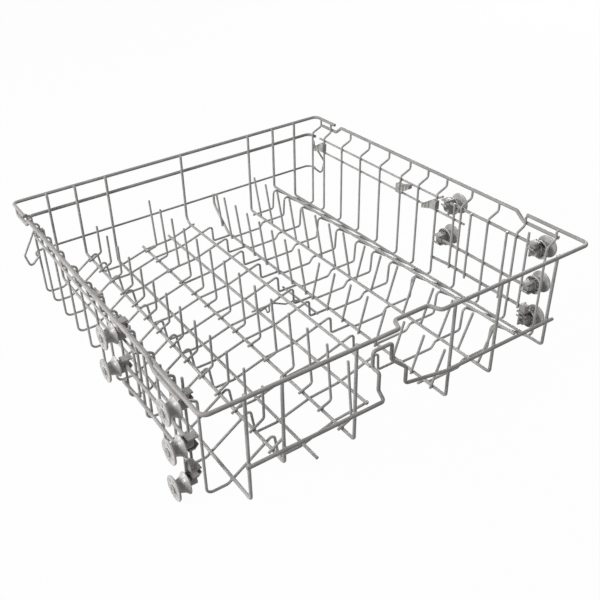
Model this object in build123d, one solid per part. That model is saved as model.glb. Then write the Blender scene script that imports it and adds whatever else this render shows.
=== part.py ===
from build123d import *
import math
import os

os.makedirs("parts", exist_ok=True)

# Upper basket of a 60 cm dishwasher, in millimetres.
# X runs left to right, Y from the front to the back and Z up.
# The origin is on the ground under the middle, where the lowest rollers stand.

# Rim and walls
rim_width = 520.0
rim_depth = 538.0
rim_height = 154.0
rim_corner = 9.0
wall_inset = 17.5

# Wire sizes over the coating, and the thin film between two welded wires
rim_wire = 4.8
long_wire = 4.0
cross_wire = 3.2
tine_wire = 3.2
rail_wire = 3.2
carrier_wire = 4.4
wire_sides = 8
film = 0.05

# Handle recess in the front rim
recess_depth = 14.5
recess_floor = 46.0
recess_mouth = 58.0
recess_bend = 6.0

# Legs of the rim's end wires, and the side wires that dip under them
front_leg = 92.0
back_leg = 51.0
side_dip = 10.5
side_dip_run = 13.0
front_overlap = 54.0
back_overlap = 36.0
leg_gap = 4.0

# Cross wires, spaced from the front rim to the back one
first_cross = 42.8
front_pitch = 47.2
middle_pitch = 37.4
back_pitch = 46.4
last_cross = 14.4
front_count = 4
middle_count = 2

# Cross wire profile: the joggle under the rim, then the floor from left to right
joggle_start = 12.5
joggle_end = 19.8
floor_height = 7.4
floor_bend = 4.0
left_floor_bend = 8.0
hump_bend = 7.0
left_flat = 25.5
left_hump_x = -157.5
left_hump_height = 47.0
left_drop = 5.0
left_trough_height = 10.2
ramp_start_x = -124.0
ramp_end_x = -77.0
ramp_end_height = 23.5
shelf_end_x = -33.0
shelf_end_height = 27.0
centre_hump_x = 24.0
centre_hump_height = 44.5
centre_drop = 1.0
centre_trough_height = 18.3
dip_start_x = 58.0
dip_run = 6.0
dip_height = 12.4
step_start_x = 111.5
step_run = 6.5
step_height = 20.8
right_hump_x = 162.0
right_hump_height = 55.5
right_drop = 2.5
right_flat = 9.0

# The first cross wire stops either side of the handle, the last one either side of the cup row
front_gap_left_x = -30.0
front_gap_right_x = 46.0
back_gap_left_x = 9.0
back_gap_right_x = 120.0

# Long wires, by their distance from the wall or from the bend of the floor that they lie by
outer_long_inset = 30.5
left_hump_long = 12.5
right_hump_long = 8.0
trough_long = 2.0
ramp_long = 3.0
shelf_long = 1.5
cup_long = 4.5
step_long = 5.0
centre_long_x = 2.0
long_bend = 4.0
centre_bend = 14.0
front_free_end = 14.0
shelf_free_end = 38.0
centre_free_end = 77.0
back_free_end = 8.5
cup_rise_run = 41.5
cup_rise_end = 14.5
cup_rise_bend = 16.0
cup_end_past = 4.0

# Front and back rails
front_rail_wire = 4.4
front_rail_height = 65.5
front_rail_end = 217.0
catch_left_x = -44.0
catch_right_x = -6.0
catch_top_left_x = -45.0
catch_top_right_x = -19.0
catch_depth = 10.0
catch_low_height = 74.0
catch_step_height = 98.0
catch_top_height = 120.0
catch_blend_x = 46.0
back_rail_drop = 26.5
back_low_rail_drop = 82.5
back_rail_corner = 11.0

# Tine rows
hump_tine_top = 95.0
ramp_tine_top = 106.0
ramp_tine_lean = 8.0
tine_first = 28.5
tine_pitch = 37.1
tine_last = 20.0
tine_tail = 7.0
tine_foot = 15.0
tine_foot_rise = 4.0
tine_foot_turn = 3.5
ramp_tine_foot = 15.2
ramp_tine_rise = 1.0
lean_run = 16.5
lean_top_height = 86.5
lean_first = 26.0
lean_pitch = 33.45
lean_count = 8
lean_back_first = 275.0
lean_last = 20.0
lean_foot = 1.0
last_cup_tine = 33.7
last_cup_foot = 31.0
last_cup_top = 82.5
last_cup_lean = 12.2

# Small hanger across the middle of the floor, with its loop, and the short rail that it ends on
hanger_wire = 2.6
hanger_past = 10.5
hanger_drop_x = -9.0
hanger_low_x = 9.0
hanger_low_height = 25.5
hanger_run_x = 24.0
hanger_rail_x = 33.8
hanger_rail_front = 6.0
hanger_rail_back = 2.5
loop_wire = 2.0
loop_left_x = -23.6
loop_right_x = -17.3
loop_foot = 3.2
loop_depth = 9.0

# Side rails, roller carriers and their posts
upper_rail_drop = 25.5
lower_rail_drop = 46.0
side_rail_end = 30.0
upper_rail_curl = 230.0
upper_rail_curl_rise = 4.5
upper_rail_curl_run = 7.0
lower_rail_front = 180.0
upper_carrier_rise = 9.8
middle_carrier_rise = 0.2
lower_carrier_rise = 19.8
lower_carrier_bend = 200.0
lower_carrier_back = 236.0
lower_carrier_drop = 3.0
bar_places = (105.0, 167.0)
bar_past = 4.4
front_post_place = 71.5
rear_post_place = 197.0
front_post_drop = 10.0
rear_post_past = 5.3

# Rollers, their axles and the holders that plug on the carriers' ends
front_roller_y = 63.0
rear_top_roller_y = 214.3
rear_low_roller_y = 223.0
roller_radius = 14.7
top_axle_drop = 35.1
roller_pitch = 52.1
roller_flange_radius = 12.8
roller_neck_radius = 7.4
roller_width = 16.0
roller_disc = 2.6
roller_neck_place = 12.0
axle_radius = 3.5
axle_clearance = 0.05
axle_head_radius = 5.0
axle_head = 1.2
end_play = 0.4
holder_reach = 4.5
holder_web = 6.3
holder_width = 12.0
holder_height = 16.0
holder_cap = 4.5
holder_taper = 5.0
holder_clearance = 0.05
socket_past = 2.0

# Rear stop hooks, and the wedge clips on the side rails
hook_top_drop = 33.0
hook_reach = 21.5
hook_reach_drop = 75.0
hook_toe = 16.0
hook_toe_drop = 96.0
hook_end_drop = 81.0
hook_bend = 3.5
hook_weld = 6.0
clip_length = 27.0
clip_height = 13.5
clip_tip = 6.5
clip_tip_drop = 6.0
clip_heel = 4.0
clip_hook_gap = 0.5
clip_rise = 7.75
clip_thickness = 7.4
clip_channel = 0.05

# Worked-out places
half_width = rim_width / 2
front_y = -rim_depth / 2
back_y = rim_depth / 2
wall_x = half_width - wall_inset
inner_top_x = half_width - (rim_wire + cross_wire) / 2 - film
under_rim = rim_height - rim_wire / 2 - film
back_rail_height = rim_height - back_rail_drop
back_low_rail_height = rim_height - back_low_rail_drop
left_outer_x = outer_long_inset - wall_x
left_hump_wire_x = left_hump_x - left_hump_long
trough_wire_x = ramp_start_x + trough_long
ramp_wire_x = ramp_end_x - ramp_long
shelf_wire_x = shelf_end_x - shelf_long
cup_wire_x = dip_start_x - cup_long
step_wire_x = step_start_x + step_run + step_long
right_hump_wire_x = right_hump_x + right_hump_long
right_outer_x = wall_x - outer_long_inset
front_wall_y = front_y + (rim_wire + long_wire) / 2 + film
back_wall_y = back_y - (rim_wire + long_wire) / 2 - film
wall_rail_x = wall_x + (cross_wire + rail_wire) / 2 + film
carrier_x = wall_x + (cross_wire + carrier_wire) / 2 + film
corner = 1 / math.cos(math.pi / wire_sides)
sideways = (1.0, 0.0, 0.0)
lengthways = (0.0, 1.0, 0.0)
upward = (0.0, 0.0, 1.0)


def wire(points, diameter, across, radii=0.0):
    """A wire bent along the points, with flats that face along the bending axis."""
    bends = len(points) - 2
    if bends == 0:
        path = Wire([Edge.make_line(points[0], points[1])])
    else:
        sizes = radii if isinstance(radii, list) else [radii] * bends
        path = Wire(FilletPolyline(*points, radius=sizes).edges())
    start = Plane(origin=path @ 0, x_dir=across, z_dir=path % 0)
    section = RegularPolygon(diameter / 2, wire_sides, major_radius=False, rotation=180 / wire_sides)
    return sweep(start * section, path, transition=Transition.RIGHT)


def blunt(corner, before, after, size):
    """Two bends in place of one sharp corner, each this far from it."""
    ends = []
    for other in (before, after):
        reach = math.dist(corner, other)
        ends.append(tuple(c + (o - c) * size / reach for c, o in zip(corner, other)))
    return ends


def save(name, *solids):
    """Write one node, as a single solid or as a group of like solids."""
    shape = solids[0] if len(solids) == 1 else Compound(children=list(solids))
    export_step(shape, f"parts/{name}.step")


def both_sides(name, *solids):
    """Write a right-hand node and its left-hand mirror image."""
    save(f"right_{name}", *solids)
    save(f"left_{name}", *[mirror(solid, about=Plane.YZ) for solid in solids])


def from_front(distance):
    return front_y + distance


# Places of the cross wires. The last pitch leaves room for a clip in front of the stop hook
least_last_pitch = clip_length - clip_heel + clip_hook_gap + rail_wire + film + cross_wire / 2
first_cross_y = from_front(first_cross)
last_cross_y = back_y - last_cross
cross_places = [first_cross_y]
for step in [front_pitch] * front_count + [middle_pitch] * middle_count:
    cross_places.append(cross_places[-1] + step)
while cross_places[-1] + back_pitch + least_last_pitch < last_cross_y:
    cross_places.append(cross_places[-1] + back_pitch)
cross_places.append(last_cross_y)

# Cross wire profile in X and Z, with the size of each corner's bend
left_corners = [
    (-wall_x, rim_height - joggle_end, 0.0),
    (-wall_x, floor_height, left_floor_bend),
    (-wall_x + left_flat, floor_height, 0.0),
    (left_hump_x, left_hump_height, hump_bend),
    (left_hump_x + left_drop, left_trough_height, floor_bend),
    (ramp_start_x, left_trough_height, 0.0),
    (ramp_end_x, ramp_end_height, 0.0),
    (shelf_end_x, shelf_end_height, 0.0),
]
centre_corners = [
    (centre_hump_x, centre_hump_height, hump_bend),
    (centre_hump_x + centre_drop, centre_trough_height, floor_bend),
]
right_corners = [
    (dip_start_x, centre_trough_height, 0.0),
    (dip_start_x + dip_run, dip_height, 0.0),
    (step_start_x, dip_height, 0.0),
    (step_start_x + step_run, step_height, 0.0),
    (right_hump_x - right_drop, step_height, floor_bend),
    (right_hump_x, right_hump_height, hump_bend),
    (wall_x - right_flat, floor_height, 0.0),
    (wall_x, floor_height, floor_bend),
    (wall_x, rim_height - joggle_end, 0.0),
]
floor = left_corners[1:] + centre_corners + right_corners[:-1]


def top_end(side, x, top):
    """The joggle out from the wall and the end under or inside the rim, from the top."""
    return [(side * x, top, 0.0), (side * x, rim_height - joggle_start, 0.0)]


def bent(corners, y):
    """Path of a cross wire at y, with its sharp corners taken off."""
    path = []
    for i, (x, z, size) in enumerate(corners):
        points = [(x, z)]
        if size > 0:
            points = blunt((x, z), corners[i - 1][:2], corners[i + 1][:2], size)
        path += [(px, y, pz) for px, pz in points]
    return path


def cross_height(x):
    """Height of the cross wire's centre line at x, and its slope there."""
    for (x0, z0, _), (x1, z1, _) in zip(floor, floor[1:]):
        if x0 <= x <= x1:
            slope = (z1 - z0) / (x1 - x0)
            return z0 + slope * (x - x0), slope
    raise ValueError(f"no floor under x = {x}")


def seat_height(x, diameter):
    """Centre height of a wire that lies on the cross wires at x."""
    height, slope = cross_height(x)
    reach = (cross_wire + diameter * corner) / 2 + film
    return height + reach * math.hypot(1.0, slope)


# Front rim wire: a shallow U with the handle recess in its front
recess = recess_mouth / 2
recess_back = front_y + recess_depth
front_rim = [
    (-half_width, from_front(front_leg), rim_height),
    (-half_width, front_y, rim_height),
    (-recess, front_y, rim_height),
    (-recess_floor / 2, recess_back, rim_height),
    (recess_floor / 2, recess_back, rim_height),
    (recess, front_y, rim_height),
    (half_width, front_y, rim_height),
    (half_width, from_front(front_leg), rim_height),
]
front_rim_bends = [rim_corner] + [recess_bend] * 4 + [rim_corner]
save("front_rim_wire", wire(front_rim, rim_wire, upward, front_rim_bends))

# Back rim wire: a plain U
back_rim = [
    (-half_width, back_y - back_leg, rim_height),
    (-half_width, back_y, rim_height),
    (half_width, back_y, rim_height),
    (half_width, back_y - back_leg, rim_height),
]
save("back_rim_wire", wire(back_rim, rim_wire, upward, rim_corner))

# Side rim wires: their ends dip and run on under the legs
dip_z = rim_height - side_dip
front_dip = from_front(front_leg) + leg_gap
back_dip = back_y - back_leg - leg_gap
side_rim = [
    (half_width, front_dip - front_overlap, dip_z),
    (half_width, front_dip, dip_z),
    (half_width, front_dip + side_dip_run, rim_height),
    (half_width, back_dip - side_dip_run, rim_height),
    (half_width, back_dip, dip_z),
    (half_width, back_dip + back_overlap, dip_z),
]
both_sides("rim_wire", wire(side_rim, rim_wire, sideways))

# Cross wires: one bent form repeated. Most end under the side rim, but where that dips
# they end inside it, and the first and last ones are in two halves
left_top = {
    "under": top_end(-1, half_width, under_rim),
    "inside": top_end(-1, inner_top_x, rim_height),
}
right_top = {
    "under": top_end(1, half_width, under_rim)[::-1],
    "inside": top_end(1, inner_top_x, rim_height)[::-1],
}


def top_kind(y):
    """Whether a cross wire at y ends under the side rim or inside its dipped end."""
    reach = cross_wire / 2
    at_front = front_dip - front_overlap - reach < y < front_dip + side_dip_run + reach
    at_back = back_dip - side_dip_run - reach < y < back_dip + back_overlap + reach
    return "inside" if at_front or at_back else "under"


def half_wires(y, left_x, right_x):
    """The two halves of a cross wire that stops at these places."""
    kind = top_kind(y)
    left_end = (left_x, cross_height(left_x)[0], 0.0)
    right_end = (right_x, cross_height(right_x)[0], 0.0)
    whole = left_corners + centre_corners + right_corners
    left = left_top[kind] + [corner for corner in whole if corner[0] < left_x] + [left_end]
    right = [right_end] + [corner for corner in whole if corner[0] > right_x] + right_top[kind]
    return [wire(bent(half, y), cross_wire, lengthways) for half in (left, right)]


cross_forms = {}
for kind in ("under", "inside"):
    profile = left_top[kind] + left_corners + centre_corners + right_corners + right_top[kind]
    cross_forms[kind] = wire(bent(profile, 0.0), cross_wire, lengthways)
save("cross_wires", *[Pos(0.0, y, 0.0) * cross_forms[top_kind(y)] for y in cross_places[1:-1]])

halves = {
    "front_cross_wire": (first_cross_y, front_gap_left_x, front_gap_right_x),
    "back_cross_wire": (last_cross_y, back_gap_left_x, back_gap_right_x),
}
for name, (y, left_x, right_x) in halves.items():
    left_half, right_half = half_wires(y, left_x, right_x)
    save(f"{name}_left", left_half)
    save(f"{name}_right", right_half)


def long_path(x, front, back):
    """Path of a long wire, up the walls or with a free end at front or back."""
    z = seat_height(x, long_wire)
    path = []
    if front is None:
        path += [(x, front_wall_y, rim_height), (x, front_wall_y, z)]
    else:
        path += [(x, from_front(front), z)]
    if back is None:
        path += [(x, back_wall_y, z), (x, back_wall_y, rim_height)]
    else:
        path += [(x, back_y - back, z)]
    return path


# Long wires, from the left wall to the right one
long_wires = {
    "left_outer_long_wire": long_path(left_outer_x, None, None),
    "left_hump_long_wire": long_path(left_hump_wire_x, None, None),
    "trough_long_wire": long_path(trough_wire_x, front_free_end, None),
    "ramp_long_wire": long_path(ramp_wire_x, None, back_free_end),
    "shelf_long_wire": long_path(shelf_wire_x, shelf_free_end, back_free_end),
    "step_long_wire": long_path(step_wire_x, None, None),
    "right_hump_long_wire": long_path(right_hump_wire_x, front_free_end, None),
    "right_outer_long_wire": long_path(right_outer_x, None, None),
}
for name, path in long_wires.items():
    save(name, wire(path, long_wire, sideways, long_bend))
centre_path = long_path(centre_long_x, centre_free_end, None)
save("centre_long_wire", wire(centre_path, long_wire, sideways, centre_bend))

# The cup wire climbs to the back lower rail, through the gap in the last cross wire
cup_path = long_path(cup_wire_x, None, back_free_end)[:-1]
cup_path += [
    (cup_wire_x, back_wall_y - cup_rise_run, seat_height(cup_wire_x, long_wire)),
    (cup_wire_x, back_wall_y, back_low_rail_height - cup_rise_end),
    (cup_wire_x, back_wall_y, back_low_rail_height + cup_end_past),
]
save("cup_long_wire", wire(cup_path, long_wire, sideways, [long_bend, cup_rise_bend, cup_rise_bend]))

# Front rail, with the stepped catch for the handle near its middle
rail_y = front_wall_y - (long_wire + front_rail_wire * corner) / 2 - film
step_y = rail_y + catch_depth
top_y = step_y + catch_depth
front_rail = [
    (-front_rail_end, rail_y, front_rail_height),
    (catch_left_x, rail_y, front_rail_height),
    (catch_left_x, step_y, catch_low_height),
    (catch_left_x, step_y, catch_step_height),
    (catch_top_left_x, top_y, catch_step_height),
    (catch_top_left_x, top_y, catch_top_height),
    (catch_top_right_x, top_y, catch_top_height),
    (catch_top_right_x, top_y, catch_step_height),
    (catch_right_x, step_y, catch_step_height - catch_depth),
    (catch_right_x, step_y, front_rail_height),
    (catch_blend_x, rail_y, front_rail_height),
    (front_rail_end, rail_y, front_rail_height),
]
save("front_rail", wire(front_rail, front_rail_wire, upward))

# Back rails outside the back wall, turned forward round the corners
back_rails = {
    "back_upper_rail": (rim_wire, back_rail_height),
    "back_lower_rail": (rail_wire, back_low_rail_height),
}
for name, (diameter, height) in back_rails.items():
    y = back_wall_y + (long_wire + diameter) / 2 + film
    x = wall_x + (cross_wire + diameter) / 2 + film
    end = last_cross_y - cross_wire / 2
    path = [(-x, end, height), (-x, y, height), (x, y, height), (x, end, height)]
    save(name, wire(path, diameter, upward, back_rail_corner))


def places(first, pitch, last):
    """Even places from the first, as far as this distance from the back rim."""
    count = math.floor((rim_depth - first - last) / pitch) + 1
    return [from_front(first + pitch * i) for i in range(count)]


# Tines with a foot across the long wire, in two upright rows
tine_rows = {
    "hump_tines": (left_hump_wire_x, tine_foot, tine_foot_rise, hump_tine_top, 0.0),
    "ramp_tines": (ramp_wire_x, ramp_tine_foot, ramp_tine_rise, ramp_tine_top, ramp_tine_lean),
}
for name, (x, foot, rise, top, lean) in tine_rows.items():
    slope = rise / foot
    reach = (long_wire * corner + tine_wire) / 2 + film
    over = seat_height(x, long_wire) + reach * math.hypot(1.0, slope)
    turn = tine_foot_turn * (foot + tine_tail) / foot
    path = [
        (x - tine_tail, -turn, over - slope * tine_tail),
        (x + foot, 0.0, over + rise),
        (x + foot, lean, top),
    ]
    form = wire(path, tine_wire, lengthways)
    save(name, *[Pos(0.0, y, 0.0) * form for y in places(tine_first, tine_pitch, tine_last)])

# Leaning tines beside the long wires: the front ones lean forward, the others back
beside = (long_wire + tine_wire) / 2 + film
lean_rows = {"cup_tines": (cup_wire_x, -1), "step_tines": (step_wire_x, 1)}
forward = [from_front(lean_first + lean_pitch * i) for i in range(lean_count)]
backward = places(lean_back_first, lean_pitch, lean_last)
for name, (carrier, side) in lean_rows.items():
    x = carrier + side * beside
    foot = seat_height(carrier, long_wire) - lean_foot
    paths = [((x, y, foot), (x, y - lean_run, lean_top_height)) for y in forward]
    paths += [((x, y, foot), (x, y + lean_run, lean_top_height)) for y in backward]
    if name == "cup_tines":
        y = back_y - last_cup_tine
        paths[-1] = ((x, y, last_cup_foot), (x, y + last_cup_lean, last_cup_top))
    save(name, *[wire(path, tine_wire, sideways) for path in paths])

# Hanger rail: a short wire that lies in the trough, on the three middle cross wires
hanger_rail_height = seat_height(hanger_rail_x, rail_wire)
hanger_rail = [
    (hanger_rail_x, cross_places[4] - hanger_rail_front, hanger_rail_height),
    (hanger_rail_x, cross_places[6] + hanger_rail_back, hanger_rail_height),
]
save("hanger_rail", wire(hanger_rail, rail_wire, sideways))

# Hanger in front of the middle cross wire: over the shelf wire and down to its rail
hanger_end_x = hanger_rail_x - rail_wire / 2 - hanger_wire / 4
hanger_y = cross_places[5] - (cross_wire + hanger_wire) / 2 - film
over_shelf = seat_height(shelf_wire_x, long_wire) + (long_wire * corner + hanger_wire) / 2 + film
hanger = [
    (shelf_wire_x - hanger_past, hanger_y, over_shelf),
    (hanger_drop_x, hanger_y, over_shelf),
    (hanger_low_x, hanger_y, hanger_low_height),
    (hanger_run_x, hanger_y, hanger_low_height),
    (hanger_end_x, hanger_y, hanger_rail_height),
]
loop_top = over_shelf - (hanger_wire + loop_wire) / 2 - film
loop = [
    (loop_left_x, hanger_y, loop_top),
    (loop_right_x - loop_foot, hanger_y, loop_top - loop_depth),
    (loop_right_x, hanger_y, loop_top - loop_depth),
    (loop_right_x, hanger_y, loop_top),
]
save("hanger", wire(hanger, hanger_wire, lengthways), wire(loop, loop_wire, lengthways))

# Thin side rails outside the wall; the upper one curls up at its front end
rail_height = rim_height - upper_rail_drop
curl_y = from_front(upper_rail_curl)
upper_rail = [
    (wall_rail_x, back_y - side_rail_end, rail_height),
    (wall_rail_x, curl_y, rail_height),
    (wall_rail_x, curl_y - upper_rail_curl_run, rail_height + upper_rail_curl_rise),
]
both_sides("upper_side_rail", wire(upper_rail, rail_wire, sideways))
low_rail_height = rim_height - lower_rail_drop
lower_rail = [
    (wall_rail_x, back_y - side_rail_end, low_rail_height),
    (wall_rail_x, from_front(lower_rail_front), low_rail_height),
]
both_sides("lower_side_rail", wire(lower_rail, rail_wire, sideways))

# Rollers by place, height, the carrier that holds them and the way that it comes from
low_axle = roller_radius
top_axle = rim_height - top_axle_drop
middle_axle = top_axle - roller_pitch
upper_carrier_height = top_axle + upper_carrier_rise
middle_carrier_height = middle_axle + middle_carrier_rise
lower_carrier_height = low_axle + lower_carrier_rise
rollers = {
    "front_top": (from_front(front_roller_y), top_axle, upper_carrier_height, 1),
    "front_middle": (from_front(front_roller_y), middle_axle, middle_carrier_height, 1),
    "front_low": (from_front(front_roller_y), low_axle, lower_carrier_height, 1),
    "rear_top": (from_front(rear_top_roller_y), top_axle, upper_carrier_height, -1),
    "rear_low": (from_front(rear_low_roller_y), middle_axle, middle_carrier_height, -1),
}

# Roller carriers: three heavy wires, with two bars and two posts in the plane of the wall
carrier_front = from_front(front_roller_y) - socket_past + holder_clearance
upper_back = from_front(rear_top_roller_y) + socket_past - holder_clearance
middle_back = from_front(rear_low_roller_y) + socket_past - holder_clearance
carriers = {
    "upper_carrier": [(carrier_front, upper_carrier_height), (upper_back, upper_carrier_height)],
    "middle_carrier": [(carrier_front, middle_carrier_height), (middle_back, middle_carrier_height)],
    "lower_carrier": [
        (carrier_front, lower_carrier_height),
        (from_front(lower_carrier_bend), lower_carrier_height),
        (from_front(lower_carrier_back), lower_carrier_height - lower_carrier_drop),
    ],
}
for name, path in carriers.items():
    both_sides(name, wire([(carrier_x, y, z) for y, z in path], carrier_wire, sideways))

bar_foot = lower_carrier_height - bar_past
bar_top = upper_carrier_height + carrier_wire / 2
bars = []
for place in bar_places:
    y = from_front(place)
    bars.append(wire([(wall_x, y, bar_foot), (wall_x, y, bar_top)], cross_wire, sideways))
both_sides("carrier_bars", *bars)

post_foot = lower_carrier_height - carrier_wire / 2
posts = []
post_tops = (rim_height - front_post_drop, upper_carrier_height + rear_post_past)
for place, top in zip((front_post_place, rear_post_place), post_tops):
    y = from_front(place)
    posts.append(wire([(wall_x, y, post_foot), (wall_x, y, top)], cross_wire, sideways))
both_sides("roller_posts", *posts)

# Axle holders: a block with a socket for the carrier's end, a stub axle and its head
holder_in = wall_x - holder_reach
holder_out = carrier_x + carrier_wire / 2 + holder_web
roller_in = holder_out + end_play / 2
roller_out = roller_in + roller_width
axle_end = roller_out + end_play / 2 + axle_head
along_x = Rotation(0, 90, 0)
start_on = (Align.CENTER, Align.CENTER, Align.MIN)
stub = Pos(holder_out, 0.0, 0.0) * along_x * Cylinder(axle_radius, axle_end - holder_out, align=start_on)
head = Pos(axle_end - axle_head, 0.0, 0.0) * along_x * Cylinder(axle_head_radius, axle_head, align=start_on)
socket_size = carrier_wire + 2 * holder_clearance
socket_depth = holder_width / 2 + socket_past


def axle(carrier_rise, side):
    """Holder and axle for a carrier this far above it, which comes from behind or in front."""
    low = -holder_height / 2
    high = max(holder_height / 2, carrier_rise + holder_cap)
    outline = Polyline(
        (holder_out, low),
        (holder_out, high),
        (holder_in, high),
        (holder_in, low + holder_taper),
        (holder_in + holder_taper, low),
        close=True,
    )
    face = Plane(origin=(0.0, holder_width / 2, 0.0), x_dir=sideways, z_dir=(0.0, -1.0, 0.0))
    block = extrude(face * make_face(outline), amount=holder_width)
    socket_y = side * (holder_width - socket_depth) / 2
    socket = Pos(carrier_x, socket_y, carrier_rise) * Box(socket_size, socket_depth, socket_size)
    return block - socket + stub + head


axles = [Pos(0.0, y, z) * axle(carrier - z, side) for y, z, carrier, side in rollers.values()]
both_sides("axles", *axles)

# Rollers: a spool with a wide outer disc, turning on the stub axle
bore = axle_radius + axle_clearance
spool = Polyline(
    (0.0, bore),
    (0.0, roller_flange_radius),
    (roller_neck_place, roller_neck_radius),
    (roller_width - roller_disc, roller_radius),
    (roller_width, roller_radius),
    (roller_width, bore),
    close=True,
)
spool_face = make_face(spool)
roller = Pos(roller_in, 0.0, 0.0) * revolve(spool_face, axis=Axis.X)

for name, (y, z, _, _) in rollers.items():
    both_sides(f"{name}_roller", Pos(0.0, y, z) * roller)

# Rear stop hooks, in front of the last cross wire
hook_y = last_cross_y - (cross_wire + rail_wire) / 2 - film
hook = [
    (wall_x, hook_y, rim_height - hook_top_drop),
    (wall_x, hook_y, rim_height - hook_top_drop - hook_weld),
    (wall_x + hook_reach, hook_y, rim_height - hook_reach_drop),
    (wall_x + hook_toe, hook_y, rim_height - hook_toe_drop),
    (wall_x, hook_y, rim_height - hook_end_drop),
]
both_sides("stop_hook", wire(hook, rail_wire, lengthways, [0.0, hook_bend, hook_bend]))

# Wedge clips that snap on the wall wires between the two side rails, the middle one upside down
clip_middle = (rail_height + low_rail_height) / 2
clip_top = clip_middle + clip_rise
clip_out = wall_rail_x - rail_wire / 2 - film
clip_in = clip_out - clip_thickness
clip_end = clip_length - clip_heel
clip_foot = clip_top - clip_height
wedge = Polyline(
    (-clip_heel, clip_top),
    (clip_heel, clip_top),
    (clip_end, clip_foot - clip_tip_drop + clip_tip),
    (clip_end, clip_foot - clip_tip_drop),
    (clip_heel, clip_foot),
    (-clip_heel, clip_foot),
    close=True,
)
wedge_face = make_face(wedge)
wedge_plane = Plane(origin=(clip_in, 0.0, 0.0), x_dir=(0.0, 1.0, 0.0), z_dir=(1.0, 0.0, 0.0))
wedge_body = extrude(wedge_plane * wedge_face, amount=clip_thickness)
channel_in = wall_x - cross_wire / 2 - clip_channel
channel_box = Box(clip_out - channel_in, cross_wire + 2 * clip_channel, clip_height)
channel = Pos((clip_out + channel_in) / 2, 0.0, clip_top - clip_height / 2) * channel_box
clip = wedge_body - channel
turned_clip = Pos(0.0, 0.0, clip_middle) * Rotation(180, 0, 0) * Pos(0.0, 0.0, -clip_middle) * clip
clips = [
    Pos(0.0, cross_places[-2], 0.0) * clip,
    Pos(0.0, cross_places[6], 0.0) * turned_clip,
    Pos(0.0, cross_places[4], 0.0) * clip,
]
both_sides("rail_clips", *clips)
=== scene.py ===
import bpy
import bmesh
import math
from mathutils import Matrix, Vector


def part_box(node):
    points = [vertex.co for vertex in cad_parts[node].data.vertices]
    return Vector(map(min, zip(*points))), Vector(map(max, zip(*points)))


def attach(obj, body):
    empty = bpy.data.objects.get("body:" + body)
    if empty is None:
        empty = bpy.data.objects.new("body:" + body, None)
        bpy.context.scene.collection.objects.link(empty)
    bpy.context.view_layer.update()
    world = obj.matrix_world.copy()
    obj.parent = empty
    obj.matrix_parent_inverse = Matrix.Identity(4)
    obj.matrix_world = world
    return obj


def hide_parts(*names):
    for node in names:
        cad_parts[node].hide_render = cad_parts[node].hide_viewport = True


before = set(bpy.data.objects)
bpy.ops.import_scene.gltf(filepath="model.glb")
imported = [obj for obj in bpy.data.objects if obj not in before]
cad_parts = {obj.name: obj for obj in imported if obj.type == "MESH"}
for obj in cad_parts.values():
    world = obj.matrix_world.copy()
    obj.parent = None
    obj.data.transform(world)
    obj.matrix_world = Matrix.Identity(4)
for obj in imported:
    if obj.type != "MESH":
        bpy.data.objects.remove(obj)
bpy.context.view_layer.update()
mm = 0.001

# Rim: four steel wires close the basket's top edge.
# The front and back ones are bent to a U, and the side ones dip and run on under their legs.
# They are welded to the wall wires, and the whole frame is then dipped in grey polyamide.


def node_tree(name, kind, inputs, outputs):
    """A new node tree with these sockets: itself, its two end nodes, its nodes and its linker."""
    tree = bpy.data.node_groups.new(name, kind)
    for in_out, sockets in (("INPUT", inputs), ("OUTPUT", outputs)):
        for socket, value in sockets.items():
            tree.interface.new_socket(socket, in_out=in_out, socket_type=f"NodeSocket{value}")
    given = tree.nodes.new("NodeGroupInput")
    result = tree.nodes.new("NodeGroupOutput")
    return tree, given, result, tree.nodes, tree.links.new


def wandering_surface():
    """Colour, roughness and fine grain that wander over a dipped or moulded surface."""
    inputs = {"Pale": "Color", "Deep": "Color", "Patch scale": "Float", "Grain scale": "Float",
              "Smoothest": "Float", "Roughest": "Float"}
    outputs = {"Colour": "Color", "Roughness": "Float", "Grain": "Float"}
    group, given, result, nodes, link = node_tree("wandering_surface", "ShaderNodeTree", inputs, outputs)
    place = nodes.new("ShaderNodeTexCoord")
    patches = nodes.new("ShaderNodeTexNoise")
    patches.inputs["Detail"].default_value = 4.0
    spread = nodes.new("ShaderNodeMapRange")
    spread.inputs["From Min"].default_value = 0.32
    spread.inputs["From Max"].default_value = 0.68
    shade = nodes.new("ShaderNodeMix")
    shade.data_type = "RGBA"
    polish = nodes.new("ShaderNodeMapRange")
    polish.inputs["From Min"].default_value = 0.3
    polish.inputs["From Max"].default_value = 0.7
    grain = nodes.new("ShaderNodeTexNoise")
    grain.inputs["Detail"].default_value = 2.0
    link(place.outputs["Object"], patches.inputs["Vector"])
    link(place.outputs["Object"], grain.inputs["Vector"])
    link(given.outputs["Patch scale"], patches.inputs["Scale"])
    link(given.outputs["Grain scale"], grain.inputs["Scale"])
    link(patches.outputs["Fac"], spread.inputs["Value"])
    link(spread.outputs["Result"], shade.inputs["Factor"])
    link(given.outputs["Pale"], shade.inputs[6])
    link(given.outputs["Deep"], shade.inputs[7])
    link(grain.outputs["Fac"], polish.inputs["Value"])
    link(given.outputs["Smoothest"], polish.inputs["To Min"])
    link(given.outputs["Roughest"], polish.inputs["To Max"])
    link(shade.outputs[2], result.inputs["Colour"])
    link(polish.outputs["Result"], result.inputs["Roughness"])
    link(grain.outputs["Fac"], result.inputs["Grain"])
    return group


surface_effect = wandering_surface()
grain_strength = 0.35


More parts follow.
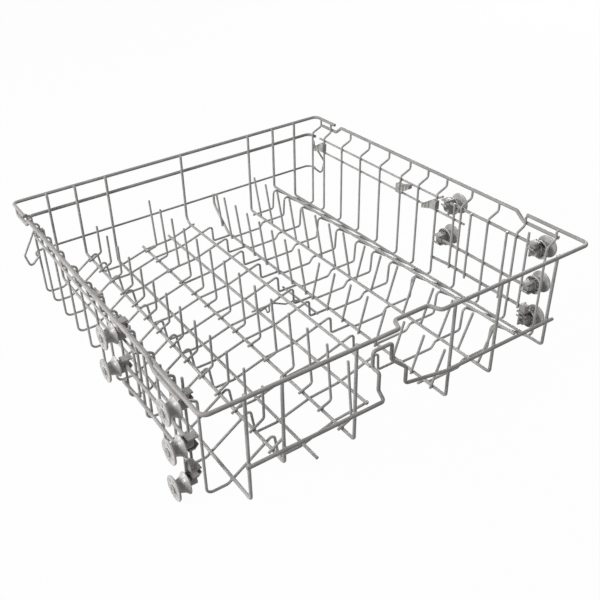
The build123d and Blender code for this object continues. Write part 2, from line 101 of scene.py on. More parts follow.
def finish_of(name, pale, deep, patch_scale, grain_scale, polish, relief, specular):
    """A material with that wandering surface, from its two colours and its fine relief."""
    material = bpy.data.materials.new(name)
    material.use_nodes = True
    nodes, link = material.node_tree.nodes, material.node_tree.links.new
    shader = nodes["Principled BSDF"]
    shader.inputs["Specular IOR Level"].default_value = specular
    surface = nodes.new("ShaderNodeGroup")
    surface.node_tree = surface_effect
    surface.inputs["Pale"].default_value = (*pale, 1.0)
    surface.inputs["Deep"].default_value = (*deep, 1.0)
    surface.inputs["Patch scale"].default_value = patch_scale
    surface.inputs["Grain scale"].default_value = grain_scale
    surface.inputs["Smoothest"].default_value = polish[0]
    surface.inputs["Roughest"].default_value = polish[1]
    bump = nodes.new("ShaderNodeBump")
    bump.inputs["Strength"].default_value = grain_strength
    bump.inputs["Distance"].default_value = relief
    link(surface.outputs["Colour"], shader.inputs["Base Color"])
    link(surface.outputs["Roughness"], shader.inputs["Roughness"])
    link(surface.outputs["Grain"], bump.inputs["Height"])
    link(bump.outputs["Normal"], shader.inputs["Normal"])
    return material


# The heavy wires' coat is the thin wires' grey polyamide painted darker: a painted shade that dims the
# rim, rails and carriers.
heavy_wire_shaded_coat = finish_of("heavy_wire_coat_painted_darker", (0.3, 0.289, 0.281), (0.225, 0.216, 0.21),
                     45.0, 900.0, (0.4, 0.54), 0.03 * mm, 0.3)


def bent_wire_tree():
    """Nodes that bend a round wire along an object's edges, once or at each marked place."""
    inputs = {"Route": "Geometry", "Diameter": "Float", "Sides": "Int", "Bend steps": "Int",
              "Repeated": "Bool", "Coating": "Material"}
    outputs = {"Wire": "Geometry"}
    tree, given, result, nodes, link = node_tree("bent_wire", "GeometryNodeTree", inputs, outputs)
    attributes = {}
    for name, kind in (("place", "BOOLEAN"), ("bend", "FLOAT"), ("taper", "FLOAT")):
        attributes[name] = nodes.new("GeometryNodeInputNamedAttribute")
        attributes[name].data_type = kind
        attributes[name].inputs["Name"].default_value = name
    split = nodes.new("GeometryNodeSeparateGeometry")
    split.domain = "POINT"
    line = nodes.new("GeometryNodeMeshToCurve")
    taper = nodes.new("GeometryNodeSetCurveRadius")
    bend = nodes.new("GeometryNodeFilletCurve")
    bend.mode = "POLY"
    bend.inputs["Limit Radius"].default_value = True
    half = nodes.new("ShaderNodeMath")
    half.operation = "MULTIPLY"
    half.inputs[1].default_value = 0.5
    section = nodes.new("GeometryNodeCurvePrimitiveCircle")
    tube = nodes.new("GeometryNodeCurveToMesh")
    tube.inputs["Fill Caps"].default_value = True
    places = nodes.new("GeometryNodeMeshToPoints")
    copies = nodes.new("GeometryNodeInstanceOnPoints")
    choice = nodes.new("GeometryNodeSwitch")
    choice.input_type = "GEOMETRY"
    real = nodes.new("GeometryNodeRealizeInstances")
    smooth = nodes.new("GeometryNodeSetShadeSmooth")
    coat = nodes.new("GeometryNodeSetMaterial")
    link(given.outputs["Route"], split.inputs["Geometry"])
    link(attributes["place"].outputs["Attribute"], split.inputs["Selection"])
    link(split.outputs["Inverted"], line.inputs["Mesh"])
    link(line.outputs["Curve"], taper.inputs["Curve"])
    link(attributes["taper"].outputs["Attribute"], taper.inputs["Radius"])
    link(taper.outputs["Curve"], bend.inputs["Curve"])
    link(attributes["bend"].outputs["Attribute"], bend.inputs["Radius"])
    link(given.outputs["Bend steps"], bend.inputs["Count"])
    link(given.outputs["Diameter"], half.inputs[0])
    link(given.outputs["Sides"], section.inputs["Resolution"])
    link(half.outputs["Value"], section.inputs["Radius"])
    link(bend.outputs["Curve"], tube.inputs["Curve"])
    link(section.outputs["Curve"], tube.inputs["Profile Curve"])
    link(split.outputs["Selection"], places.inputs["Mesh"])
    link(places.outputs["Points"], copies.inputs["Points"])
    link(tube.outputs["Mesh"], copies.inputs["Instance"])
    link(given.outputs["Repeated"], choice.inputs["Switch"])
    link(tube.outputs["Mesh"], choice.inputs["False"])
    link(copies.outputs["Instances"], choice.inputs["True"])
    link(choice.outputs["Output"], real.inputs["Geometry"])
    link(real.outputs["Geometry"], smooth.inputs["Geometry"])
    link(smooth.outputs["Geometry"], coat.inputs["Geometry"])
    link(given.outputs["Coating"], coat.inputs["Material"])
    link(coat.outputs["Geometry"], result.inputs["Wire"])
    return tree


wire_tree = bent_wire_tree()


def made_real(piece, tree, values):
    """Turns the piece into the plain mesh that a node tree makes of it with these values."""
    modifier = piece.modifiers.new(tree.name, "NODES")
    modifier.node_group = tree
    for socket in tree.interface.items_tree:
        if socket.item_type == "SOCKET" and socket.name in values:
            modifier[socket.identifier] = values[socket.name]
    shape = piece.evaluated_get(bpy.context.evaluated_depsgraph_get())
    mesh = bpy.data.meshes.new_from_object(shape)
    piece.modifiers.remove(modifier)
    mesh.name = piece.name
    piece.data = mesh


# A cut end's rounding: the distance from its tip and the size there, as shares of the wire's radius
end_rounding = ((0.0, 0.45), (0.2, 0.8), (0.6, 0.97), (1.1, 1.0))
bend_steps = 8


def rounded_off(run, radius):
    """A run of (x, y, z, bend) with both cut ends drawn in, as the dipped coat rounds them."""
    points = [(Vector(p[:3]), p[3] if len(p) > 3 else 0.0, 1.0) for p in run]
    ends = []
    for tip, inner in ((points[0][0], points[1][0]), (points[-1][0], points[-2][0])):
        way = (inner - tip).normalized()
        ends.append([(tip + way * radius * along, 0.0, size) for along, size in end_rounding])
    return ends[0] + points[1:-1] + ends[1][::-1]


def wire(name, runs, diameter, stands_for, coat, places=(), sides=14):
    """A coated wire piece along the runs, repeated at each place, in place of CAD nodes."""
    mesh = bpy.data.meshes.new(name)
    points, edges = [], []
    for run in runs:
        start = len(points)
        points += rounded_off(run, diameter / 2)
        edges += [(i, i + 1) for i in range(start, len(points) - 1)]
    route = [p[0] for p in points]
    mesh.from_pydata(route + [Vector(p) for p in places], edges, [])
    marks = {
        "bend": ("FLOAT", [p[1] for p in points] + [0.0] * len(places)),
        "taper": ("FLOAT", [p[2] for p in points] + [1.0] * len(places)),
        "place": ("BOOLEAN", [False] * len(points) + [True] * len(places)),
    }
    for key, (kind, values) in marks.items():
        mesh.attributes.new(key, kind, "POINT").data.foreach_set("value", values)
    piece = bpy.data.objects.new(name, mesh)
    bpy.context.collection.objects.link(piece)
    made_real(piece, wire_tree, {"Diameter": diameter, "Sides": sides, "Bend steps": bend_steps,
                                 "Repeated": bool(places), "Coating": coat})
    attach(piece, "basket")
    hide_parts(*stands_for)


both_sides = (("left", -1), ("right", 1))
front_lo, front_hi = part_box("front_rim_wire")
back_lo, back_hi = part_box("back_rim_wire")
rim_wire = back_hi.z - back_lo.z
rim_z = back_hi.z - rim_wire / 2
half_width = back_hi.x - rim_wire / 2
front_y = front_lo.y + rim_wire / 2
back_y = back_hi.y - rim_wire / 2
rim_corner = 9 * mm
recess_bend = 6 * mm
recess_depth = 14.5 * mm
recess_mouth = 29 * mm
recess_floor = 23 * mm
front_rim = [
    (-half_width, front_hi.y, rim_z),
    (-half_width, front_y, rim_z, rim_corner),
    (-recess_mouth, front_y, rim_z, recess_bend),
    (-recess_floor, front_y + recess_depth, rim_z, recess_bend),
    (recess_floor, front_y + recess_depth, rim_z, recess_bend),
    (recess_mouth, front_y, rim_z, recess_bend),
    (half_width, front_y, rim_z, rim_corner),
    (half_width, front_hi.y, rim_z),
]
wire("front_rim", [front_rim], rim_wire, ["front_rim_wire"], heavy_wire_shaded_coat, sides=20)
back_rim = [
    (-half_width, back_lo.y, rim_z),
    (-half_width, back_y, rim_z, rim_corner),
    (half_width, back_y, rim_z, rim_corner),
    (half_width, back_lo.y, rim_z),
]
wire("back_rim", [back_rim], rim_wire, ["back_rim_wire"], heavy_wire_shaded_coat, sides=20)
leg_gap = 4 * mm
dip_run = 13 * mm
dip_bend = 7 * mm
for side, way in both_sides:
    lo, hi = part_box(f"{side}_rim_wire")
    x = way * half_width
    dip_z = lo.z + rim_wire / 2
    front_dip = front_hi.y + leg_gap
    back_dip = back_lo.y - leg_gap
    side_rim = [
        (x, lo.y, dip_z),
        (x, front_dip, dip_z, dip_bend),
        (x, front_dip + dip_run, rim_z, dip_bend),
        (x, back_dip - dip_run, rim_z, dip_bend),
        (x, back_dip, dip_z, dip_bend),
        (x, hi.y, dip_z),
    ]
    wire(f"{side}_rim", [side_rim], rim_wire, [f"{side}_rim_wire"], heavy_wire_shaded_coat, sides=20)

# Cross wires: twelve thinner wires run from rim to rim and carry the load.
# Each is bent in one press to the same floor of humps, drops and ramps, and joggled out to the rim.
# The first leaves room for a handle and the last for the cup row, so both are in two halves.
grey_coat = finish_of("grey_polyamide_coat", (0.35, 0.344, 0.338), (0.262, 0.258, 0.254),
                      55.0, 1100.0, (0.2, 0.34), 0.02 * mm, 0.4)
film = 0.05 * mm
cross_wire = 3.2 * mm
bar_lo, bar_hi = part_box("right_carrier_bars")
wall_x = (bar_lo.x + bar_hi.x) / 2
floor_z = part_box("cross_wires")[0].z + cross_wire / 2
inner_top_x = half_width - (rim_wire + cross_wire) / 2 - film
joggle_start = rim_z - 12.5 * mm
joggle_end = rim_z - 19.8 * mm
joggle_bend = 5 * mm
weld_sink = 1.2 * mm
left_floor = [
    (-wall_x, joggle_end, joggle_bend),
    (-wall_x, floor_z, 8 * mm),
    (-217.0 * mm, floor_z, 9 * mm),
    (-157.5 * mm, 47.0 * mm, 4.5 * mm),
    (-152.5 * mm, 10.2 * mm, 5 * mm),
    (-124.0 * mm, 10.2 * mm, 8 * mm),
    (-77.0 * mm, 23.5 * mm, 10 * mm),
    (-33.0 * mm, 27.0 * mm, 12 * mm),
]
middle_hump = [
    (24.0 * mm, 44.5 * mm, 4.5 * mm),
    (25.0 * mm, 18.3 * mm, 4 * mm),
]
right_floor = [
    (58.0 * mm, 18.3 * mm, 5 * mm),
    (64.0 * mm, 12.4 * mm, 5 * mm),
    (111.5 * mm, 12.4 * mm, 5 * mm),
    (118.0 * mm, 20.8 * mm, 5 * mm),
    (159.5 * mm, 20.8 * mm, 4 * mm),
    (162.0 * mm, 55.5 * mm, 4.5 * mm),
    (233.5 * mm, floor_z, 6 * mm),
    (wall_x, floor_z, 4 * mm),
    (wall_x, joggle_end, joggle_bend),
]
floor_profile = left_floor + middle_hump + right_floor


def floor_height(x):
    """Height of the cross wires' centre line at x."""
    for (x0, z0, _), (x1, z1, _) in zip(floor_profile[1:], floor_profile[2:]):
        if x0 <= x <= x1:
            return z0 + (z1 - z0) * (x - x0) / (x1 - x0)
    return floor_z


def rim_end(way, under):
    """A cross wire's end, from the top: welded under the rim, or inside its dipped end."""
    x, top = (half_width, rim_z - rim_wire / 2 + weld_sink) if under else (inner_top_x, rim_z)
    return [(way * x, top, 0.0), (way * x, joggle_start, joggle_bend)]


first_cross = front_y + 42.8 * mm
front_pitch = 47.2 * mm
middle_pitch = 37.4 * mm
back_pitch = 46.4 * mm
last_pitch = 31.6 * mm
pitches = [front_pitch] * 4 + [middle_pitch] * 2 + [back_pitch] * 4 + [last_pitch]
cross_places = [first_cross]
for pitch in pitches:
    cross_places.append(cross_places[-1] + pitch)
dipped_places = [cross_places[0], cross_places[1], cross_places[10]]
for name, under in (("under_rim", True), ("inside_rim", False)):
    profile = rim_end(-1, under) + floor_profile + rim_end(1, under)[::-1]
    run = [(x, 0.0, z, bend) for x, z, bend in profile]
    places = [(0.0, y, 0.0) for y in cross_places[1:-1] if (y not in dipped_places) == under]
    wire(f"cross_wires_{name}", [run], cross_wire, ["cross_wires"], grey_coat, places)
for end, y, under in (("front", cross_places[0], False), ("back", cross_places[-1], True)):
    left_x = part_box(f"{end}_cross_wire_left")[1].x
    right_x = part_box(f"{end}_cross_wire_right")[0].x
    left = [p for p in floor_profile if p[0] < left_x] + [(left_x, floor_height(left_x), 0.0)]
    right = [(right_x, floor_height(right_x), 0.0)] + [p for p in floor_profile if p[0] > right_x]
    halves = {"left": rim_end(-1, under) + left, "right": right + rim_end(1, under)[::-1]}
    for side, half in halves.items():
        run = [(x, y, z, bend) for x, z, bend in half]
        wire(f"{end}_cross_{side}", [run], cross_wire, [f"{end}_cross_wire_{side}"], grey_coat)

# Long wires: ten wires lie on the cross wires from front to back, welded at each crossing.
# Most turn up at a wall and are welded inside the rim, and the others are cut off free.
long_wire = 4.0 * mm
long_bend = 4 * mm
centre_bend = 14 * mm
front_wall = front_y + (rim_wire + long_wire) / 2 + film
back_wall = back_y - (rim_wire + long_wire) / 2 - film
long_ends = {
    "left_outer_long_wire": (True, True),
    "left_hump_long_wire": (True, True),
    "trough_long_wire": (False, True),
    "ramp_long_wire": (True, False),
    "shelf_long_wire": (False, False),
    "centre_long_wire": (False, True),
    "step_long_wire": (True, True),
    "right_hump_long_wire": (False, True),
    "right_outer_long_wire": (True, True),
}
long_places = {}
for node, (front_up, back_up) in long_ends.items():
    lo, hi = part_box(node)
    x, z = (lo.x + hi.x) / 2, lo.z + long_wire / 2
    back_bend = centre_bend if node == "centre_long_wire" else long_bend
    run = [(x, lo.y, z)]
    if front_up:
        run = [(x, front_wall, rim_z), (x, front_wall, z, long_bend)]
    if back_up:
        run += [(x, back_wall, z, back_bend), (x, back_wall, rim_z)]
    else:
        run += [(x, hi.y, z)]
    wire(node.replace("_wire", ""), [run], long_wire, [node], grey_coat, sides=16)
    long_places[node] = (x, z, lo.y, hi.y)
lo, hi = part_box("cup_long_wire")
x, z = (lo.x + hi.x) / 2, lo.z + long_wire / 2
cup_climb = back_wall - 41.5 * mm
cup_climb_top = 57.0 * mm
cup_end = 75.5 * mm
cup_bend = 16 * mm
cup_run = [
    (x, front_wall, rim_z),
    (x, front_wall, z, long_bend),
    (x, cup_climb, z, cup_bend),
    (x, back_wall, cup_climb_top, cup_bend),
    (x, back_wall, cup_end),
]
wire("cup_long", [cup_run], long_wire, ["cup_long_wire"], grey_coat, sides=16)
long_places["cup_long_wire"] = (x, z, lo.y, cup_climb)

# Front rail: a heavy wire across the front wall, outside its uprights.
# Near the middle it is bent up and back in steps, as a catch for a handle that is pushed on.
rail_lo, rail_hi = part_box("front_rail")
front_rail_wire = 4.4 * mm
rail_y = rail_lo.y + front_rail_wire / 2
rail_z = 65.5 * mm
catch_depth = 10 * mm
step_y = rail_y + catch_depth
top_y = rail_y + 2 * catch_depth
catch_left = -44 * mm
catch_top_left = -45 * mm
catch_top_right = -19 * mm
catch_right = -6 * mm
catch_blend = 46 * mm
catch_low = 74 * mm
catch_step = 98 * mm
catch_top = 120 * mm
catch_right_step = 88 * mm
catch_bend = 4 * mm
blend_bend = 12 * mm
front_rail = [
    (rail_lo.x, rail_y, rail_z),
    (catch_left, rail_y, rail_z, catch_bend),
    (catch_left, step_y, catch_low, catch_bend),
    (catch_left, step_y, catch_step, catch_bend),
    (catch_top_left, top_y, catch_step, catch_bend),
    (catch_top_left, top_y, catch_top, catch_bend),
    (catch_top_right, top_y, catch_top, catch_bend),
    (catch_top_right, top_y, catch_step, catch_bend),
    (catch_right, step_y, catch_right_step, catch_bend),
    (catch_right, step_y, rail_z, catch_bend),
    (catch_blend, rail_y, rail_z, blend_bend),
    (rail_hi.x, rail_y, rail_z),
]
wire("front_rail_bent", [front_rail], front_rail_wire, ["front_rail"], heavy_wire_shaded_coat, sides=18)

# Back rails: a heavy and a thin wire outside the back wall.
# Their ends turn forward round the corners and are welded to the last cross wire.
back_corner = 11 * mm
for node in ("back_upper_rail", "back_lower_rail"):
    lo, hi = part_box(node)
    radius = (hi.z - lo.z) / 2
    x, y, z = hi.x - radius, hi.y - radius, lo.z + radius
    run = [(-x, lo.y, z), (-x, y, z, back_corner), (x, y, z, back_corner), (x, lo.y, z)]
    wire(f"{node}_bent", [run], 2 * radius, [node], heavy_wire_shaded_coat, sides=16)

# Upright tines: short wires with a foot that is welded across a long wire.
# They stand in two rows and keep saucers on edge.
tine_wire = 3.2 * mm
tine_bend = 4 * mm
tine_tail = 7.0 * mm
foot_turn = 3.5 * mm
tine_first = front_y + 28.5 * mm
tine_pitch = 37.1 * mm
tine_count = 14
# Each row: its long wire, the foot's length and rise, the tine's top and its lean
tine_rows = {
    "hump_tines": ("left_hump_long_wire", 15.0 * mm, 4.0 * mm, 95.0 * mm, 0.0),
    "ramp_tines": ("ramp_long_wire", 15.2 * mm, 1.0 * mm, 106.0 * mm, 8.0 * mm),
}
tine_places = [tine_first + tine_pitch * i for i in range(tine_count)]
for node, (carrier, foot, rise, top, lean) in tine_rows.items():
    x, z = long_places[carrier][:2]
    over = z + (long_wire + tine_wire) / 2 + film
    tail = (x - tine_tail, -foot_turn * (foot + tine_tail) / foot, over - rise * tine_tail / foot)
    form = [tail, (x + foot, 0.0, over + rise, tine_bend), (x + foot, lean, top)]
    places = [(0.0, y, 0.0) for y in tine_places]
    wire(f"{node}_bent", [form], tine_wire, [node], grey_coat, places, sides=12)

# Leaning tines: straight wires welded beside a long wire, close together for cups.
# The front half of each row leans forward and the back half leans back.
lean_run = 16.5 * mm
lean_top = 86.5 * mm
lean_pitch = 33.45 * mm
lean_count = 8
lean_first = front_y + 26.0 * mm
lean_back_first = front_y + 275.0 * mm
lean_forward = [lean_first + lean_pitch * i for i in range(lean_count)]
lean_back = [lean_back_first + lean_pitch * i for i in range(lean_count)]
last_cup_y = back_y - 33.7 * mm
last_cup_foot = 31.0 * mm
last_cup_top = 82.5 * mm
last_cup_lean = 12.2 * mm
lean_places = {}
for node in ("cup_tines", "step_tines"):
    lo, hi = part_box(node)
    x = (lo.x + hi.x) / 2
    runs = [[(x, y, lo.z), (x, y - lean_run, lean_top)] for y in lean_forward]
    runs += [[(x, y, lo.z), (x, y + lean_run, lean_top)] for y in lean_back]
    if node == "cup_tines":
        runs[-1] = [(x, last_cup_y, last_cup_foot), (x, last_cup_y + last_cup_lean, last_cup_top)]
    wire(f"{node}_welded", runs, tine_wire, [node], grey_coat, sides=12)
    lean_places[node] = [run[0] for run in runs]

# Hanger: a thin wire across the middle of the floor, from the shelf wire to its own short rail.
# A thinner loop hangs from it, for whatever is clipped on below.
rail_lo, rail_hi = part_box("hanger_rail")
hanger_rail_x = (rail_lo.x + rail_hi.x) / 2
hanger_rail_z = (rail_lo.z + rail_hi.z) / 2
hanger_rail = [(hanger_rail_x, rail_lo.y, hanger_rail_z), (hanger_rail_x, rail_hi.y, hanger_rail_z)]
wire("hanger_rail_wire", [hanger_rail], rail_hi.x - rail_lo.x, ["hanger_rail"], grey_coat)
hanger_lo, hanger_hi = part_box("hanger")
hanger_wire = 2.6 * mm
loop_wire = 2.0 * mm
hanger_y = (hanger_lo.y + hanger_hi.y) / 2
hanger_z = hanger_hi.z - hanger_wire / 2
hanger_drop_x = -9.0 * mm
hanger_low_x = 9.0 * mm
hanger_run_x = 24.0 * mm
hanger_low_z = 25.5 * mm
hanger_bend = 6 * mm
hanger_run = [
    (hanger_lo.x, hanger_y, hanger_z),
    (hanger_drop_x, hanger_y, hanger_z, hanger_bend),
    (hanger_low_x, hanger_y, hanger_low_z, hanger_bend),
    (hanger_run_x, hanger_y, hanger_low_z, hanger_bend),
    (hanger_hi.x, hanger_y, hanger_rail_z),
]
loop_sink = 0.4 * mm
loop_z = hanger_z - (hanger_wire + loop_wire) / 2 + loop_sink
loop_left = -23.6 * mm
loop_foot = -20.5 * mm
loop_right = -17.3 * mm
loop_depth = 9 * mm
loop_bend = 1.2 * mm
loop_run = [
    (loop_left, hanger_y, loop_z),
    (loop_foot, hanger_y, loop_z - loop_depth, loop_bend),
    (loop_right, hanger_y, loop_z - loop_depth, loop_bend),
    (loop_right, hanger_y, loop_z),
]
wire("hanger_wire", [hanger_run], hanger_wire, ["hanger"], grey_coat, sides=12)
wire("hanger_loop", [loop_run], loop_wire, ["hanger"], grey_coat, sides=12)

# Side rails and roller carriers: wires welded along the outside of each side wall.
# The heavy carriers' ends hold the rollers, and bars and posts stiffen the wall between them.
curl_y = front_y + 230.0 * mm
curl_run = 7.0 * mm
curl_rise = 4.5 * mm
curl_bend = 8 * mm
carrier_bend_y = front_y + 200.0 * mm
carrier_bend = 30 * mm
carrier_drop = 3.0 * mm
side_kinds = ("upper_side_rail", "lower_side_rail", "upper_carrier", "middle_carrier", "lower_carrier")
bar_places = [front_y + 105.0 * mm, front_y + 167.0 * mm]
post_places = [front_y + 71.5 * mm, front_y + 197.0 * mm]
rear_post_top = 134.0 * mm
side_heights = {}
for side in ("left", "right"):
    for kind in side_kinds:
        node = f"{side}_{kind}"
        lo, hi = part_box(node)
        x, diameter = (lo.x + hi.x) / 2, hi.x - lo.x
        z = lo.z + diameter / 2
        run = [(x, lo.y, z), (x, hi.y, z)]
        if kind == "upper_side_rail":
            run = [(x, curl_y - curl_run, z + curl_rise), (x, curl_y, z, curl_bend), (x, hi.y, z)]
        if kind == "lower_carrier":
            z = hi.z - diameter / 2
            run = [(x, lo.y, z), (x, carrier_bend_y, z, carrier_bend), (x, hi.y, z - carrier_drop)]
        coat = heavy_wire_shaded_coat if "carrier" in kind else grey_coat
        wire(f"{node}_wire", [run], diameter, [node], coat, sides=16)
        side_heights[kind] = (z, lo.y, hi.y)
    lo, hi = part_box(f"{side}_carrier_bars")
    x = (lo.x + hi.x) / 2
    bars = [[(x, y, lo.z), (x, y, hi.z)] for y in bar_places]
    wire(f"{side}_bars", bars, hi.x - lo.x, [f"{side}_carrier_bars"], grey_coat)
    lo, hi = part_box(f"{side}_roller_posts")
    posts = [[(x, y, lo.z), (x, y, top)] for y, top in zip(post_places, (hi.z, rear_post_top))]
    wire(f"{side}_posts", posts, hi.x - lo.x, [f"{side}_roller_posts"], grey_coat)

# Stop hooks: a bent wire on each rear corner that stops the basket at the end of its rail.
# Both ends are welded to the wall, in front of the last cross wire.
hook_weld = 6 * mm
hook_reach_x = 264 * mm
hook_reach_z = rim_z - 75 * mm
hook_toe_x = 258.5 * mm
hook_toe_z = rim_z - 96 * mm
hook_end_z = rim_z - 81 * mm
hook_bend = 4 * mm
for side, way in both_sides:
    lo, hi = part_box(f"{side}_stop_hook")
    y = (lo.y + hi.y) / 2
    hook = [
        (way * wall_x, y, hi.z),
        (way * wall_x, y, hi.z - hook_weld, hook_bend),
        (way * hook_reach_x, y, hook_reach_z, hook_bend),
        (way * hook_toe_x, y, hook_toe_z, hook_bend),
        (way * wall_x, y, hook_end_z),
    ]
    wire(f"{side}_hook", [hook], hi.y - lo.y, [f"{side}_stop_hook"], grey_coat)

# Welds: where two wires touch they are welded, and the dipped coat fills the corner between them.
# Each is a small bead, stretched along the two wires.


def weld_tree():
    """Nodes that put a bead of its own size at each point."""
    inputs = {"Points": "Geometry", "Roundness": "Int", "Coating": "Material"}
    outputs = {"Beads": "Geometry"}
    tree, given, result, nodes, link = node_tree("weld_beads", "GeometryNodeTree", inputs, outputs)
    size = nodes.new("GeometryNodeInputNamedAttribute")
    size.data_type = "FLOAT_VECTOR"
    size.inputs["Name"].default_value = "size"
    points = nodes.new("GeometryNodeMeshToPoints")
    bead = nodes.new("GeometryNodeMeshIcoSphere")
    bead.inputs["Radius"].default_value = 1.0
    copies = nodes.new("GeometryNodeInstanceOnPoints")
    real = nodes.new("GeometryNodeRealizeInstances")
    smooth = nodes.new("GeometryNodeSetShadeSmooth")
    coat = nodes.new("GeometryNodeSetMaterial")
    link(given.outputs["Points"], points.inputs["Mesh"])
    link(given.outputs["Roundness"], bead.inputs["Subdivisions"])
    link(points.outputs["Points"], copies.inputs["Points"])
    link(bead.outputs["Mesh"], copies.inputs["Instance"])
    link(size.outputs["Attribute"], copies.inputs["Scale"])
    link(copies.outputs["Instances"], real.inputs["Geometry"])
    link(real.outputs["Geometry"], smooth.inputs["Geometry"])
    link(smooth.outputs["Geometry"], coat.inputs["Geometry"])
    link(given.outputs["Coating"], coat.inputs["Material"])
    link(coat.outputs["Geometry"], result.inputs["Beads"])
    return tree


flat_bead = (2.1 * mm, 2.1 * mm, 1.1 * mm)
front_bead = (2.1 * mm, 1.1 * mm, 2.1 * mm)
side_bead = (1.1 * mm, 2.1 * mm, 2.1 * mm)
lean_bead = (1.0 * mm, 2.4 * mm, 1.9 * mm)
bead_roundness = 2
handle_gap = (-30.0 * mm, 46.0 * mm)
cup_row_gap = (9.0 * mm, 120.0 * mm)
no_gap = (0.0, 0.0)
cross_gaps = {cross_places[0]: handle_gap, cross_places[-1]: cup_row_gap}
back_heights = [
    rim_z,
    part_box("back_upper_rail")[1].z - rim_wire / 2,
    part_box("back_lower_rail")[1].z - tine_wire / 2,
]
rail_front_free = 6 * mm
rail_back_free = 4 * mm
welds = []
for x, z, start, end in long_places.values():
    for y in cross_places:
        gap_start, gap_end = cross_gaps.get(y, no_gap)
        if start < y < end and not gap_start < x < gap_end:
            welds.append(((x, y, z - long_wire / 2), flat_bead))
for node, (front_up, back_up) in {**long_ends, "cup_long_wire": (True, False)}.items():
    x = long_places[node][0]
    if front_up:
        welds.append(((x, front_wall - long_wire / 2, rim_z), front_bead))
        welds.append(((x, front_wall - long_wire / 2, rail_z), front_bead))
    if back_up:
        welds += [((x, back_wall + long_wire / 2, z), front_bead) for z in back_heights]
for carrier, *_ in tine_rows.values():
    x, z = long_places[carrier][:2]
    welds += [((x, y - foot_turn, z + long_wire / 2), flat_bead) for y in tine_places]
for node, carrier in (("cup_tines", "cup_long_wire"), ("step_tines", "step_long_wire")):
    x, z = long_places[carrier][:2]
    for foot in lean_places[node]:
        if foot[2] < z:
            welds.append((((x + foot[0]) / 2, foot[1], z), lean_bead))
for way in (-1, 1):
    face = way * (wall_x + cross_wire / 2)
    for kind, (z, start, end) in side_heights.items():
        uprights = cross_places + (bar_places + post_places if "carrier" in kind else [])
        first, last = start + rail_front_free, end - rail_back_free
        welds += [((face, y, z), side_bead) for y in uprights if first < y < last]
    welds += [((way * (half_width - rim_wire / 2), y, rim_z), side_bead) for y in dipped_places]
mesh = bpy.data.meshes.new("welds")
mesh.from_pydata([place for place, _ in welds], [], [])
bead_sizes = [value for _, size in welds for value in size]
mesh.attributes.new("size", "FLOAT_VECTOR", "POINT").data.foreach_set("vector", bead_sizes)
welds_piece = bpy.data.objects.new("welds", mesh)
bpy.context.collection.objects.link(welds_piece)
made_real(welds_piece, weld_tree(), {"Roundness": bead_roundness, "Coating": grey_coat})
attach(welds_piece, "basket")

# Axle holders: brackets moulded in grey plastic, pushed on the ends of the carriers.
# A sleeve takes the carrier's end, two prongs reach round the wall wire, and a back wall joins them.
# The boss has a stub axle whose dimpled head snaps through its roller.
# The holders' plastic is the clips' grey painted darker: a painted shade for the shadow the holders sit
# in behind the rollers.
shaded_holder_plastic = finish_of("holder_plastic_painted_darker", (0.29, 0.282, 0.272), (0.2, 0.194, 0.187),
                           120.0, 1400.0, (0.36, 0.54), 0.04 * mm, 0.5)
holder_in = 238.0 * mm
holder_out = 254.85 * mm
flange_thick = 2.2 * mm
flange_wide = 6.0 * mm
flange_tall = 8.0 * mm
boss_radius = 5.4 * mm
boss_core = 3.6 * mm
boss_in = 244.4 * mm
boss_core_depth = 5 * mm
boss_sink = 0.5 * mm
wall_in = 243.4 * mm
wall_out = 253.4 * mm
wall_thick = 2.2 * mm
sleeve_in = 242.6 * mm
sleeve_out = 250.2 * mm
sleeve_foot = 3.8 * mm
sleeve_top = 4.5 * mm
sleeve_front = 3.4 * mm
prong_out = 250.6 * mm
prong_tip = 1.8 * mm
prong_root = 2.5 * mm
prong_front = 4.6 * mm
prong_slope = 5.0 * mm
prong_lip = 0.8 * mm
prong_sink = 0.3 * mm
stub_radius = 3.5 * mm
stub_core = 0.5 * mm
head_radius = 5.0 * mm
head_thick = 1.2 * mm
head_edge = 0.4 * mm
head_taper = 0.6 * mm
dimple_rim = 2.4 * mm
dimple_radius = 1.8 * mm
dimple_depth = 0.7 * mm
axle_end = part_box("right_axles")[1].x
head_start = axle_end - head_thick
round_steps = 32
holder_rounding = 0.25 * mm
# Each place: its carrier, and its lower and upper prong's heights from the axle
holders = {
    "front_top": ("upper_carrier", 1.5 * mm, 14.3 * mm),
    "front_middle": ("middle_carrier", -8.0 * mm, 8.0 * mm),
    "front_low": ("lower_carrier", 4.5 * mm, 16.6 * mm),
    "rear_top": ("upper_carrier", 1.5 * mm, 14.3 * mm),
    "rear_low": ("middle_carrier", -8.0 * mm, 8.0 * mm),
}


def fused_tree():
    """Nodes that join the overlapping bodies of a moulding into one skin."""
    inputs = {"Bodies": "Geometry", "Plastic": "Material"}
    outputs = {"Moulding": "Geometry"}
    tree, given, result, nodes, link = node_tree("fused_moulding", "GeometryNodeTree", inputs, outputs)
    joined = nodes.new("GeometryNodeMeshBoolean")
    joined.operation = "UNION"
    joined.solver = "EXACT"
    joined.inputs["Self Intersection"].default_value = True
    real = nodes.new("GeometryNodeRealizeInstances")
    plastic = nodes.new("GeometryNodeSetMaterial")
    link(given.outputs["Bodies"], joined.inputs["Mesh 2"])
    link(joined.outputs["Mesh"], real.inputs["Geometry"])
    link(real.outputs["Geometry"], plastic.inputs["Geometry"])
    link(given.outputs["Plastic"], plastic.inputs["Material"])
    link(plastic.outputs["Geometry"], result.inputs["Moulding"])
    return tree


moulding_tree = fused_tree()
rounded_above = math.radians(40)
sharp_above = math.radians(35)


